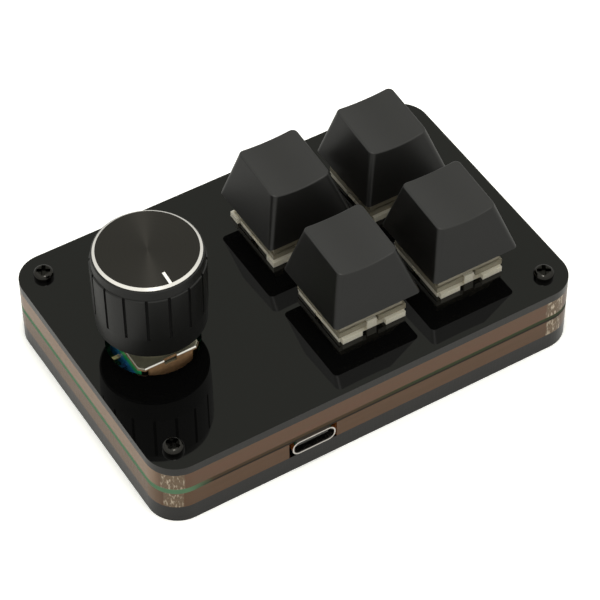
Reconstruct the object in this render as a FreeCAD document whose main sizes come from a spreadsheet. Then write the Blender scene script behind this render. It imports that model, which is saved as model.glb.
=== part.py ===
import FreeCAD, Part
import math
import os
import re

import Sketcher

# Macro keypad: four sprung keys and one push-and-turn knob on a layered acrylic case.
# Millimetres, +Z up, origin at the middle of the case's underside.
# X runs along the case from the knob to the keys, and the cable socket faces -Y.

SIZES = {
    # Case layers, from the bottom up
    "case_length": 88.0,
    "case_depth": 58.0,
    "case_corner_radius": 6.0,
    "bottom_plate_thickness": 3.8,
    "spacer_thickness": 3.8,
    "board_thickness": 1.2,
    "top_plate_thickness": 1.8,
    "spacer_wall": 3.2,
    "spacer_corner_block": 9.8,
    "upper_spacer_hole_diameter": 2.9,
    "lower_spacer_hole_diameter": 2.2,
    "overrun": 1.0,
    # Case screws and nuts
    "screw_inset": 5.0,
    "screw_diameter": 2.0,
    "screw_clearance": 0.1,
    "screw_length": 14.0,
    "screw_head_diameter": 3.9,
    "screw_head_height": 1.4,
    "screw_head_rounding": 0.85,
    "screw_recess_length": 2.6,
    "screw_recess_width": 0.75,
    "screw_recess_depth": 0.8,
    "screw_recess_turn": 31.0,
    "nut_width": 4.0,
    "nut_height": 1.6,
    "nut_thread_clearance": 0.02,
    "nut_pocket_clearance": 0.05,
    "nut_pocket_depth": 1.9,
    # Key grid
    "key_grid_inset": 28.1,
    "key_pitch_along": 21.0,
    "key_pitch_across": 22.6,
    "key_travel": 4.0,
    # Switch base
    "switch_cutout_width": 14.0,
    "switch_cutout_clearance": 0.05,
    "switch_depth": 5.0,
    "switch_wall": 1.25,
    "switch_floor": 1.2,
    "flange_width": 15.6,
    "flange_height": 1.2,
    "flange_block_span": 13.3,
    "flange_lug_span": 15.1,
    "flange_lug_length": 2.5,
    "side_recess_width": 2.6,
    "side_recess_depth": 0.5,
    "flange_notch_reach": 2.5,
    "flange_notch_depth": 1.7,
    "flange_tongue_width": 2.0,
    "flange_tongue_thickness": 0.6,
    "flange_tongue_height": 2.0,
    "guide_diameter": 3.6,
    "guide_bore": 2.3,
    "guide_drop": 0.8,
    "post_diameter": 3.9,
    "post_length": 3.3,
    "post_hole_clearance": 0.1,
    # Switch top
    "band_width": 14.2,
    "band_height": 1.2,
    "band_notch_width": 2.6,
    "band_notch_depth": 1.1,
    "roof_foot_width": 13.4,
    "roof_length": 11.0,
    "roof_depth": 10.2,
    "roof_wall": 0.7,
    "roof_thickness": 1.0,
    "switch_top_height": 6.6,
    # Switch stem
    "stem_length": 7.2,
    "stem_depth": 5.6,
    "stem_clearance": 0.1,
    "stem_shelf_length": 8.8,
    "stem_shelf_depth": 8.0,
    "stem_underside": 3.6,
    "stem_stop_gap": 0.1,
    "stem_shoulder": 7.0,
    "stem_cross_height": 3.2,
    "stem_cross_length": 4.0,
    "stem_cross_thickness": 1.2,
    "stem_rod_diameter": 2.1,
    "stem_rod_drop": 2.2,
    "stem_rod_end_gap": 0.4,
    # Switch spring
    "spring_diameter": 5.0,
    "spring_wire": 0.3,
    "spring_turns": 9,
    # Switch contacts
    "contact_width": 1.2,
    "contact_thickness": 0.3,
    "contact_slot_clearance": 0.1,
    "contact_hole_diameter": 1.5,
    "fixed_contact_x": -3.81,
    "fixed_contact_y": 2.54,
    "fixed_contact_rise": 1.2,
    "leaf_contact_x": 2.54,
    "leaf_contact_y": 5.08,
    "leaf_contact_rise": 4.4,
    # Keycap
    "cap_base_width": 18.1,
    "cap_base_rounding": 0.9,
    "cap_skirt_rise": 6.2,
    "cap_top_length": 12.2,
    "cap_top_depth": 12.7,
    "cap_top_rounding": 1.2,
    "cap_rim_rounding": 0.3,
    "cap_top_shift": 0.8,
    "cap_top_rise": 16.1,
    "cap_top_tilt": 4.6,
    "cap_wall": 1.3,
    "cap_roof": 1.5,
    "cap_scoop_radius": 34.0,
    "cap_scoop_depth": 0.6,
    "cap_boss_diameter": 5.5,
    "cap_cross_clearance": 0.02,
    # Encoder below the knob
    "knob_inset": 14.5,
    "knob_hole_diameter": 17.4,
    "knob_press": 0.5,
    "encoder_length": 11.6,
    "encoder_depth": 12.0,
    "encoder_height": 6.1,
    "encoder_bore": 9.8,
    "encoder_floor": 1.0,
    "bracket_length": 12.5,
    "bracket_depth": 13.0,
    "bracket_corner": 1.0,
    "bracket_roof": 0.6,
    "bracket_bend_radius": 0.35,
    "bracket_hole": 6.4,
    "bracket_apron_width": 8.85,
    "bracket_apron_thickness": 0.45,
    "bracket_apron_drop": 4.2,
    "bracket_notch_width": 2.6,
    "bracket_notch_drop": 0.5,
    "bracket_leg_width": 2.2,
    "bracket_leg_reach": 1.0,
    "bracket_slot_clearance": 0.1,
    "bushing_diameter": 7.0,
    "bushing_length": 5.0,
    "bushing_flange_diameter": 9.4,
    "bushing_flange_height": 0.8,
    "shaft_diameter": 6.0,
    "shaft_running_clearance": 0.03,
    "shaft_reach": 20.0,
    "shaft_tail": 4.0,
    "shaft_flat_length": 10.0,
    "shaft_flat_depth": 1.5,
    "rotor_diameter": 9.2,
    "rotor_thickness": 0.8,
    "rotor_hub_diameter": 7.4,
    "rotor_hub_height": 2.0,
    "rotor_drop": 3.4,
    "rotor_fit": 0.01,
    "plunger_diameter": 4.0,
    "plunger_thickness": 0.9,
    "dome_diameter": 5.0,
    "dome_thickness": 0.3,
    "encoder_pin_width": 0.8,
    "encoder_pin_thickness": 0.3,
    "encoder_pin_offset": 7.0,
    "encoder_pin_rise": 1.7,
    "encoder_pin_reach": 1.2,
    "encoder_pin_pitch": 2.5,
    "encoder_pin_hole": 1.1,
    # Knob
    "knob_gap": 6.3,
    "knob_foot_radius": 9.75,
    "knob_foot_chamfer": 0.3,
    "knob_waist_radius": 10.25,
    "knob_grip_radius": 10.35,
    "knob_shoulder": 0.2,
    "knob_band_radius": 10.1,
    "knob_rim_radius": 9.95,
    "knob_rim_chamfer": 0.15,
    "knob_groove_start": 4.7,
    "knob_groove_end": 14.8,
    "knob_height": 16.7,
    "knob_groove_width": 0.55,
    "knob_groove_depth": 0.4,
    "knob_groove_count": 16,
    "knob_groove_turn": 17.4,
    "knob_turn": -3.3,
    "knob_cavity_diameter": 16.0,
    "knob_cavity_depth": 12.5,
    "knob_hub_diameter": 9.0,
    "knob_hub_lift": 0.9,
    "knob_bore_clearance": 0.02,
    "knob_bore_end_gap": 0.1,
    "disc_diameter": 19.34,
    "disc_thickness": 1.5,
    "disc_seat_depth": 1.0,
    "disc_seat_clearance": 0.03,
    "disc_chamfer_width": 0.5,
    "disc_chamfer_height": 0.35,
    "pointer_inner_radius": 6.3,
    "pointer_width": 0.55,
    "pointer_depth": 0.15,
    # Cable socket under the board
    "socket_inset": 30.35,
    "socket_width": 8.94,
    "socket_height": 3.26,
    "socket_rounding": 1.5,
    "socket_length": 7.3,
    "socket_wall": 0.3,
    "socket_protrusion": 0.4,
    "socket_slot_width": 9.9,
    "socket_back_length": 1.6,
    "socket_tongue_width": 6.7,
    "socket_tongue_thickness": 0.7,
    "socket_tongue_setback": 0.8,
    # Parts soldered under the board
    "chip_width": 7.0,
    "chip_thickness": 0.9,
    "chip_inset": 37.0,
    "chip_y": 2.0,
    "small_part_length": 2.0,
    "small_part_width": 1.25,
    "small_part_thickness": 0.8,
}

# Places of the small parts under the board, as shares of the case's length and depth
SMALL_PART_SHARES = (
    (-0.19, 0.20),
    (-0.15, 0.20),
    (-0.11, 0.20),
    (-0.07, 0.20),
    (-0.15, -0.10),
    (-0.15, -0.15),
    (-0.05, -0.14),
    (-0.01, -0.14),
)

# Places of the switches, as shares of the pitch each way from the middle of the key grid
SWITCH_PLACE_SHARES = {
    "left_back": (-0.5, 0.5),
    "right_back": (0.5, 0.5),
    "left_front": (-0.5, -0.5),
    "right_front": (0.5, -0.5),
}

# Switches whose flange also reaches out to the left and right, at its corners
LUGGED_SWITCHES = ("left_back",)

SIDES = (-1, 1)
QUARTERS = 4
FULL_TURN = 360
UPRIGHT_SHARE = 0.99
START, END, MIDDLE = 1, 2, 3
ORIGIN, X_AXIS, Y_AXIS = -1, -1, -2
NEGLIGIBLE = 1e-6

# Heights of the layers' faces, in size names
BOARD_BASE = "(bottom_plate_thickness + spacer_thickness)"
BOARD_TOP = "(bottom_plate_thickness + spacer_thickness + board_thickness)"
TOP_PLATE_BASE = "(bottom_plate_thickness + 2 * spacer_thickness + board_thickness)"
CASE_HEIGHT = "(bottom_plate_thickness + 2 * spacer_thickness + board_thickness + top_plate_thickness)"

# Places that more than one piece shares
KNOB_X = "(knob_inset - case_length / 2)"
KEY_GRID_X = "(case_length / 2 - key_grid_inset)"
SOCKET_X = "(socket_inset - case_length / 2)"
CHIP_X = "(chip_inset - case_length / 2)"
SCREW_X = "(case_length / 2 - screw_inset)"
SCREW_Y = "(case_depth / 2 - screw_inset)"
SCREW_HOLE = "(screw_diameter + 2 * screw_clearance)"
SWITCH_WIDTH = "(switch_cutout_width - 2 * switch_cutout_clearance)"
SWITCH_CAVITY = "(switch_cutout_width - 2 * switch_cutout_clearance - 2 * switch_wall)"
GUIDE_FLOOR = "(stem_rod_drop + key_travel + stem_rod_end_gap)"
ROOF_UNDERSIDE = "(switch_top_height - roof_thickness)"
BRACKET_TOP = "(" + BOARD_TOP + " + encoder_height + bracket_roof)"
SHAFT_FOOT = "(" + BRACKET_TOP + " - shaft_tail)"
KNOB_FOOT = "(" + CASE_HEIGHT + " + knob_gap)"

doc = FreeCAD.newDocument("macro_keypad")
sheet = doc.addObject("Spreadsheet::Sheet", "Sizes")
pieces = []


def fill_sheet():
    """Writes each size's name and number into the sheet, the number under its alias."""
    for row, (name, number) in enumerate(SIZES.items(), start=1):
        sheet.set("A%d" % row, name)
        sheet.set("B%d" % row, str(number))
        sheet.setAlias("B%d" % row, name)
    doc.recompute()


def full(text):
    """The expression with each size name spelled as its cell in the sheet."""
    return re.sub(r"[a-z_]+", lambda word: "Sizes." + word[0] if word[0] in SIZES else word[0], text)


def value(text):
    """The number that an expression in size names has now."""
    return float(sheet.evalExpression(full(text)))


def bind(thing, prop, text):
    """Ties one property of an object to an expression in size names."""
    thing.setExpression(prop, full(text))


def place(thing, x="0", y="0", z="0"):
    """Ties an object's position to expressions in size names, and keeps it as a finished piece."""
    for axis, text in zip("xyz", (x, y, z)):
        bind(thing, "Placement.Base." + axis, text)
    pieces.append(thing)
    return thing


# Sketches


def new_body(label):
    """An empty body with its own label."""
    body = doc.addObject("PartDesign::Body", label)
    body.Label = label
    return body


def new_sketch(body, name, plane="XY_Plane", x="0", y="0", z="0"):
    """A sketch on one of the body's origin planes, shifted by expressions in size names."""
    sketch = body.newObject("Sketcher::SketchObject", name)
    support = [feature for feature in body.Origin.OriginFeatures if feature.Role == plane]
    sketch.AttachmentSupport = [(support[0], "")]
    sketch.MapMode = "FlatFace"
    for axis, text in zip("xyz", (x, y, z)):
        bind(sketch, "AttachmentOffset.Base." + axis, text)
    return sketch


def dimension(sketch, kind, ends, text):
    """A driving constraint whose number follows an expression in size names."""
    index = sketch.addConstraint(Sketcher.Constraint(kind, *ends, value(text)))
    bind(sketch, "Constraints[%d]" % index, text)


def fix_point(sketch, edge, end, x, y):
    """Ties a point of an edge to two expressions, measured from the sketch's origin."""
    for kind, axis, text in (("DistanceX", Y_AXIS, x), ("DistanceY", X_AXIS, y)):
        amount = value(text)
        if abs(amount) < NEGLIGIBLE:
            sketch.addConstraint(Sketcher.Constraint("PointOnObject", edge, end, axis))
        elif amount < 0:
            dimension(sketch, kind, (edge, end, ORIGIN, START), "-(" + text + ")")
        else:
            dimension(sketch, kind, (ORIGIN, START, edge, end), text)


def outline(sketch, points):
    """A closed outline of straight edges through points given as pairs of expressions."""
    first = sketch.GeometryCount
    corners = [FreeCAD.Vector(value(x), value(y), 0) for x, y in points]
    count = len(corners)
    for k in range(count):
        sketch.addGeometry(Part.LineSegment(corners[k], corners[(k + 1) % count]))
    for k in range(count):
        after = first + (k + 1) % count
        sketch.addConstraint(Sketcher.Constraint("Coincident", first + k, END, after, START))
    for k, (x, y) in enumerate(points):
        fix_point(sketch, first + k, START, x, y)


def rectangle(sketch, width, depth, x="0", y="0"):
    """A rectangle about a middle point."""
    left, right = "%s - %s / 2" % (x, width), "%s + %s / 2" % (x, width)
    low, high = "%s - %s / 2" % (y, depth), "%s + %s / 2" % (y, depth)
    outline(sketch, ((left, low), (right, low), (right, high), (left, high)))


def hexagon(sketch, flats):
    """A regular hexagon about the origin, with two of its flats along Y."""
    side, tip = flats + " * sqrt(3) / 6", flats + " * sqrt(3) / 3"
    half = flats + " / 2"
    outline(
        sketch,
        (
            (half, "-" + side),
            (half, side),
            ("0", tip),
            ("-" + half, side),
            ("-" + half, "-" + side),
            ("0", "-" + tip),
        ),
    )


def circle(sketch, diameter, x="0", y="0"):
    """A circle about a middle point."""
    middle = FreeCAD.Vector(value(x), value(y), 0)
    edge = sketch.addGeometry(Part.Circle(middle, FreeCAD.Vector(0, 0, 1), value(diameter) / 2))
    fix_point(sketch, edge, MIDDLE, x, y)
    dimension(sketch, "Diameter", (edge,), diameter)


def corner_circles(sketch, diameter):
    """A circle at each of the four screw places."""
    for side_x in SIDES:
        for side_y in SIDES:
            circle(sketch, diameter, "%d * %s" % (side_x, SCREW_X), "%d * %s" % (side_y, SCREW_Y))


def rounded_rectangle(sketch, width, depth, radius):
    """A rectangle about the origin with four round corners."""
    half_w, half_d, r = value(width) / 2, value(depth) / 2, value(radius)
    normal = FreeCAD.Vector(0, 0, 1)
    first = sketch.GeometryCount
    in_x, in_y = half_w - r, half_d - r
    middles = ((in_x, in_y), (-in_x, in_y), (-in_x, -in_y), (in_x, -in_y))
    for k, (x, y) in enumerate(middles):
        ring = Part.Circle(FreeCAD.Vector(x, y, 0), normal, r)
        sketch.addGeometry(Part.ArcOfCircle(ring, k * math.pi / 2, (k + 1) * math.pi / 2))
    for k in range(QUARTERS):
        start = sketch.getPoint(first + k, END)
        end = sketch.getPoint(first + (k + 1) % QUARTERS, START)
        sketch.addGeometry(Part.LineSegment(start, end))
    for k in range(QUARTERS):
        line, after = first + QUARTERS + k, first + (k + 1) % QUARTERS
        sketch.addConstraint(Sketcher.Constraint("Tangent", first + k, END, line, START))
        sketch.addConstraint(Sketcher.Constraint("Tangent", line, END, after, START))
        sketch.addConstraint(Sketcher.Constraint("Vertical" if k % 2 else "Horizontal", line))
    for k in range(1, QUARTERS):
        sketch.addConstraint(Sketcher.Constraint("Equal", first, first + k))
    dimension(sketch, "Radius", (first,), radius)
    sketch.addConstraint(Sketcher.Constraint("Symmetric", first, MIDDLE, first + 2, MIDDLE, ORIGIN, START))
    dimension(sketch, "DistanceX", (first + 1, MIDDLE, first, MIDDLE), "%s - 2 * %s" % (width, radius))
    dimension(sketch, "DistanceY", (first + 3, MIDDLE, first, MIDDLE), "%s - 2 * %s" % (depth, radius))


def d_outline(sketch, diameter, flat_depth):
    """A circle about the origin with one flat across its +Y side."""
    r = value(diameter) / 2
    height = r - value(flat_depth)
    reach = math.sqrt(r * r - height * height)
    ring = Part.Circle(FreeCAD.Vector(0, 0, 0), FreeCAD.Vector(0, 0, 1), r)
    start = math.atan2(height, -reach)
    end = math.atan2(height, reach) + 2 * math.pi
    arc = sketch.addGeometry(Part.ArcOfCircle(ring, start, end))
    line = sketch.addGeometry(Part.LineSegment(sketch.getPoint(arc, END), sketch.getPoint(arc, START)))
    sketch.addConstraint(Sketcher.Constraint("Coincident", arc, MIDDLE, ORIGIN, START))
    sketch.addConstraint(Sketcher.Constraint("Coincident", arc, END, line, START))
    sketch.addConstraint(Sketcher.Constraint("Coincident", line, END, arc, START))
    sketch.addConstraint(Sketcher.Constraint("Horizontal", line))
    dimension(sketch, "Diameter", (arc,), diameter)
    dimension(sketch, "DistanceY", (ORIGIN, START, line, START), "%s / 2 - %s" % (diameter, flat_depth))


# Features


def pad(body, sketch, length, down=False):
    """Material grown from a sketch, along its normal or against it."""
    feature = body.newObject("PartDesign::Pad", sketch.Name + "_pad")
    feature.Profile = sketch
    bind(feature, "Length", length)
    feature.Reversed = down
    return feature


def pocket(body, sketch, length, up=False):
    """Material cut away from a sketch, against its normal or along it."""
    feature = body.newObject("PartDesign::Pocket", sketch.Name + "_pocket")
    feature.Profile = sketch
    bind(feature, "Length", length)
    feature.Reversed = up
    return feature


def revolve(body, sketch):
    """A full turn of a sketch about its own upright axis."""
    feature = body.newObject("PartDesign::Revolution", sketch.Name + "_turn")
    feature.Profile = sketch
    feature.ReferenceAxis = (sketch, ["V_Axis"])
    feature.Angle = FULL_TURN
    return feature


def loft(body, lower, upper, cut=False):
    """A ruled form between two sketches, added or cut away."""
    kind = "SubtractiveLoft" if cut else "AdditiveLoft"
    feature = body.newObject("PartDesign::" + kind, lower.Name + "_loft")
    feature.Profile = lower
    feature.Sections = [upper]
    feature.Ruled = True
    return feature


def round_upright(body, feature, radius):
    """Rounds the upright edges of a straight-sided feature."""
    doc.recompute()
    names = []
    for k, edge in enumerate(feature.Shape.Edges, start=1):
        if abs(edge.tangentAt(edge.FirstParameter).z) > UPRIGHT_SHARE:
            names.append("Edge%d" % k)
    rounded = body.newObject("PartDesign::Fillet", feature.Name + "_rounding")
    rounded.Base = (feature, names)
    bind(rounded, "Radius", radius)
    return rounded


def round_above(body, feature, height, radius):
    """Rounds the edges of a feature whose ends all lie above a height."""
    doc.recompute()
    names = []
    for k, edge in enumerate(feature.Shape.Edges, start=1):
        if all(vertex.Point.z > value(height) for vertex in edge.Vertexes):
            names.append("Edge%d" % k)
    rounded = body.newObject("PartDesign::Fillet", feature.Name + "_rounding")
    rounded.Base = (feature, names)
    bind(rounded, "Radius", radius)
    return rounded


def new_box(name, length, width, height, x, y, z):
    """A box whose sizes and middle, seen from above, follow expressions, with its base at z."""
    box = doc.addObject("Part::Box", name)
    bind(box, "Length", length)
    bind(box, "Width", width)
    bind(box, "Height", height)
    bind(box, "Placement.Base.x", "%s - %s / 2" % (x, length))
    bind(box, "Placement.Base.y", "%s - %s / 2" % (y, width))
    bind(box, "Placement.Base.z", z)
    return box


def group(label, members):
    """One piece made of separate solids."""
    compound = doc.addObject("Part::Compound", label)
    compound.Label = label
    compound.Links = members
    return compound


def mirrored(source, normal):
    """The mirror image of an object in an upright plane through the origin."""
    mirror = doc.addObject("Part::Mirroring", source.Name + "_mirror")
    mirror.Source = source
    mirror.Normal = FreeCAD.Vector(*normal)
    return mirror


def at_four_corners(label, body, height):
    """A body at the first screw place and its images at the other three, as one piece."""
    for axis, text in zip("xyz", (SCREW_X, SCREW_Y, height)):
        bind(body, "Placement.Base." + axis, text)
    across = mirrored(body, (1, 0, 0))
    pieces.append(group(label, [body, across, mirrored(body, (0, 1, 0)), mirrored(across, (0, 1, 0))]))


# Case


def case_layer(label, thickness):
    """A body with the case's rounded outline, from z = 0 up to a thickness."""
    body = new_body(label)
    sketch = new_sketch(body, label + "_outline")
    rectangle(sketch, "case_length", "case_depth")
    round_upright(body, pad(body, sketch, thickness), "case_corner_radius")
    return body


def cut_corner_holes(body, label, diameter, thickness):
    """The four screw holes through a layer."""
    sketch = new_sketch(body, label + "_screw_holes")
    corner_circles(sketch, diameter)
    pocket(body, sketch, thickness, up=True)


def make_bottom_plate():
    """The thick lower plate, with hexagonal pockets for the nuts in its underside."""
    body = case_layer("bottom_plate", "bottom_plate_thickness")
    cut_corner_holes(body, "bottom_plate", SCREW_HOLE, "bottom_plate_thickness")
    for k, (side_x, side_y) in enumerate([(x, y) for x in SIDES for y in SIDES]):
        sketch = new_sketch(
            body,
            "nut_pocket_%d" % k,
            x="%d * %s" % (side_x, SCREW_X),
            y="%d * %s" % (side_y, SCREW_Y),
        )
        hexagon(sketch, "(nut_width + 2 * nut_pocket_clearance)")
        pocket(body, sketch, "nut_pocket_depth", up=True)
    place(body)


def make_spacer(label, base, slot=False):
    """A clear frame between two layers, solid round the screws and open in the middle."""
    body = case_layer(label, "spacer_thickness")
    cut_corner_holes(body, label, label + "_hole_diameter", "spacer_thickness")
    openings = (
        ("(case_length - 2 * spacer_wall)", "(case_depth - 2 * spacer_corner_block)"),
        ("(case_length - 2 * spacer_corner_block)", "(case_depth - 2 * spacer_wall)"),
    )
    for k, (width, depth) in enumerate(openings):
        sketch = new_sketch(body, "%s_opening_%d" % (label, k))
        rectangle(sketch, width, depth)
        pocket(body, sketch, "spacer_thickness", up=True)
    if slot:
        sketch = new_sketch(body, label + "_socket_slot")
        depth = "(spacer_wall + overrun)"
        rectangle(sketch, "socket_slot_width", depth, SOCKET_X, "-(case_depth - spacer_wall) / 2")
        pocket(body, sketch, "spacer_thickness", up=True)
    place(body, z=base)


def make_top_plate():
    """The glossy plate that holds the switches, with a round hole for the encoder."""
    body = case_layer("top_plate", "top_plate_thickness")
    cut_corner_holes(body, "top_plate", SCREW_HOLE, "top_plate_thickness")
    sketch = new_sketch(body, "switch_cutouts")
    for share_x, share_y in SWITCH_PLACE_SHARES.values():
        x, y = switch_place(share_x, share_y)
        rectangle(sketch, "switch_cutout_width", "switch_cutout_width", x, y)
    pocket(body, sketch, "top_plate_thickness", up=True)
    sketch = new_sketch(body, "knob_hole")
    circle(sketch, "knob_hole_diameter", KNOB_X)
    pocket(body, sketch, "top_plate_thickness", up=True)
    place(body, z=TOP_PLATE_BASE)


def make_circuit_board():
    """The green board, with holes for the switches' posts and pins and for the encoder."""
    body = case_layer("circuit_board", "board_thickness")
    cut_corner_holes(body, "circuit_board", SCREW_HOLE, "board_thickness")
    sketch = new_sketch(body, "board_switch_holes")
    for share_x, share_y in SWITCH_PLACE_SHARES.values():
        x, y = switch_place(share_x, share_y)
        circle(sketch, "(post_diameter + 2 * post_hole_clearance)", x, y)
        circle(sketch, "contact_hole_diameter", x + " + fixed_contact_x", y + " + fixed_contact_y")
        circle(sketch, "contact_hole_diameter", x + " + leaf_contact_x", y + " + leaf_contact_y")
    pocket(body, sketch, "board_thickness", up=True)
    sketch = new_sketch(body, "board_encoder_holes", x=KNOB_X)
    for x, y in encoder_pin_places():
        circle(sketch, "encoder_pin_hole", x, y)
    for side_y in SIDES:
        width = "(bracket_leg_width + 2 * bracket_slot_clearance)"
        depth = "(bracket_apron_thickness + 2 * bracket_slot_clearance)"
        rectangle(sketch, width, depth, "0", bracket_side(side_y))
    pocket(body, sketch, "board_thickness", up=True)
    place(body, z=BOARD_BASE)


def make_case_screws():
    """Four pan head screws from the top plate down to the nuts, as one piece."""
    body = new_body("screw")
    sketch = new_sketch(body, "screw_head")
    circle(sketch, "screw_head_diameter")
    round_above(body, pad(body, sketch, "screw_head_height"), "screw_head_height / 2", "screw_head_rounding")
    sketch = new_sketch(body, "screw_shank")
    circle(sketch, "screw_diameter")
    pad(body, sketch, "screw_length", down=True)
    for name, sides in (("along", ("length", "width")), ("across", ("width", "length"))):
        sketch = new_sketch(body, "screw_recess_" + name, z="screw_head_height")
        bind(sketch, "AttachmentOffset.Rotation.Angle", "screw_recess_turn")
        rectangle(sketch, "screw_recess_" + sides[0], "screw_recess_" + sides[1])
        pocket(body, sketch, "screw_recess_depth")
    at_four_corners("case_screws", body, CASE_HEIGHT)


def make_case_nuts():
    """Four nuts in the bottom plate's pockets, as one piece."""
    body = new_body("nut")
    sketch = new_sketch(body, "nut_outline")
    hexagon(sketch, "nut_width")
    pad(body, sketch, "nut_height")
    sketch = new_sketch(body, "nut_bore")
    circle(sketch, "(screw_diameter + 2 * nut_thread_clearance)")
    pocket(body, sketch, "nut_height", up=True)
    at_four_corners("case_nuts", body, "nut_pocket_depth - nut_height")


# Switches and keycaps, each made about its own middle with z = 0 at the top plate's face


def switch_place(share_x, share_y):
    """The middle of one switch, from its shares of the key pitches."""
    return (
        "(%s + %s * key_pitch_along)" % (KEY_GRID_X, share_x),
        "(%s * key_pitch_across)" % share_y,
    )


def make_switch_base(name, x, y):
    """The lower housing: a tray through the plate, a notched flange, a guide tube and a post."""
    body = new_body("switch_base_" + name)
    sketch = new_sketch(body, "tray_" + name, z="-switch_depth")
    rectangle(sketch, SWITCH_WIDTH, SWITCH_WIDTH)
    pad(body, sketch, "(switch_depth + flange_height)")
    sketch = new_sketch(body, "flange_blocks_" + name)
    rectangle(sketch, "flange_block_span", "flange_width")
    pad(body, sketch, "flange_height")
    if name in LUGGED_SWITCHES:
        sketch = new_sketch(body, "flange_lugs_" + name)
        for side_y in SIDES:
            middle = "%d * (flange_width - flange_lug_length) / 2" % side_y
            rectangle(sketch, "flange_lug_span", "flange_lug_length", "0", middle)
        pad(body, sketch, "flange_height")
    sketch = new_sketch(body, "side_recesses_" + name)
    for side_x in SIDES:
        depth = "(side_recess_depth + overrun)"
        middle = "%d * (%s / 2 + %s / 2 - side_recess_depth)" % (side_x, SWITCH_WIDTH, depth)
        rectangle(sketch, depth, "side_recess_width", middle)
    pocket(body, sketch, "flange_height", up=True)
    sketch = new_sketch(body, "flange_notches_" + name)
    notch = "(flange_notch_reach - flange_tongue_width / 2)"
    middle_x = "(flange_notch_reach + flange_tongue_width / 2) / 2"
    middle_y = "(flange_width + overrun - flange_notch_depth) / 2"
    for side_x in SIDES:
        for side_y in SIDES:
            rectangle(
                sketch,
                notch,
                "(flange_notch_depth + overrun)",
                "%d * %s" % (side_x, middle_x),
                "%d * %s" % (side_y, middle_y),
            )
    pocket(body, sketch, "flange_height", up=True)
    sketch = new_sketch(body, "tongue_relief_" + name)
    for side_y in SIDES:
        depth = "((flange_width - %s) / 2 + overrun)" % SWITCH_WIDTH
        middle = "%d * (%s / 2 + %s / 2)" % (side_y, SWITCH_WIDTH, depth)
        rectangle(sketch, "flange_notch_reach", depth, "0", middle)
    pocket(body, sketch, "flange_height", up=True)
    sketch = new_sketch(body, "tongues_" + name)
    for side_y in SIDES:
        middle = "%d * (%s - flange_tongue_thickness) / 2" % (side_y, SWITCH_WIDTH)
        rectangle(sketch, "flange_tongue_width", "flange_tongue_thickness", "0", middle)
    pad(body, sketch, "flange_tongue_height")
    sketch = new_sketch(body, "tray_cavity_" + name, z="switch_floor - switch_depth")
    rectangle(sketch, SWITCH_CAVITY, SWITCH_CAVITY)
    pocket(body, sketch, "(switch_depth + flange_height)", up=True)
    sketch = new_sketch(body, "guide_" + name, z="switch_floor / 2 - switch_depth")
    circle(sketch, "guide_diameter")
    pad(body, sketch, "(switch_depth - switch_floor / 2 - guide_drop)")
    sketch = new_sketch(body, "post_" + name, z="-switch_depth")
    circle(sketch, "post_diameter")
    pad(body, sketch, "post_length", down=True)
    sketch = new_sketch(body, "guide_bore_" + name, z="-" + GUIDE_FLOOR)
    circle(sketch, "guide_bore")
    pocket(body, sketch, GUIDE_FLOOR, up=True)
    sketch = new_sketch(body, "contact_slots_" + name, z="-switch_depth")
    for contact in ("fixed", "leaf"):
        width = "(contact_width + 2 * contact_slot_clearance)"
        depth = "(contact_thickness + 2 * contact_slot_clearance)"
        rectangle(sketch, width, depth, contact + "_contact_x", contact + "_contact_y")
    pocket(body, sketch, "switch_floor", up=True)
    place(body, x, y, CASE_HEIGHT)


def make_switch_top(name, x, y):
    """The upper housing: a band on the flange, a tapered roof and an opening for the stem."""
    body = new_body("switch_top_" + name)
    sketch = new_sketch(body, "band_" + name, z="flange_height")
    rectangle(sketch, "band_width", "band_width")
    pad(body, sketch, "band_height")
    foot = new_sketch(body, "roof_foot_" + name, z="flange_height + band_height")
    rectangle(foot, "roof_foot_width", "roof_foot_width")
    head = new_sketch(body, "roof_head_" + name, z="switch_top_height")
    rectangle(head, "roof_length", "roof_depth")
    loft(body, foot, head)
    sketch = new_sketch(body, "band_cavity_" + name, z="flange_height")
    rectangle(sketch, SWITCH_CAVITY, SWITCH_CAVITY)
    pocket(body, sketch, "band_height", up=True)
    sketch = new_sketch(body, "roof_cavity_" + name, z="flange_height")
    rectangle(sketch, "(roof_length - 2 * roof_wall)", "(roof_depth - 2 * roof_wall)")
    pocket(body, sketch, "(%s - flange_height)" % ROOF_UNDERSIDE, up=True)
    sketch = new_sketch(body, "band_notches_" + name, z="flange_height")
    for side_y in SIDES:
        middle = "%d * (band_width + overrun - band_notch_depth) / 2" % side_y
        rectangle(sketch, "band_notch_width", "(band_notch_depth + overrun)", "0", middle)
    pocket(body, sketch, "band_height", up=True)
    sketch = new_sketch(body, "stem_opening_" + name, z=ROOF_UNDERSIDE)
    rectangle(sketch, "(stem_length + 2 * stem_clearance)", "(stem_depth + 2 * stem_clearance)")
    pocket(body, sketch, "roof_thickness", up=True)
    place(body, x, y, CASE_HEIGHT)


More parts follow.
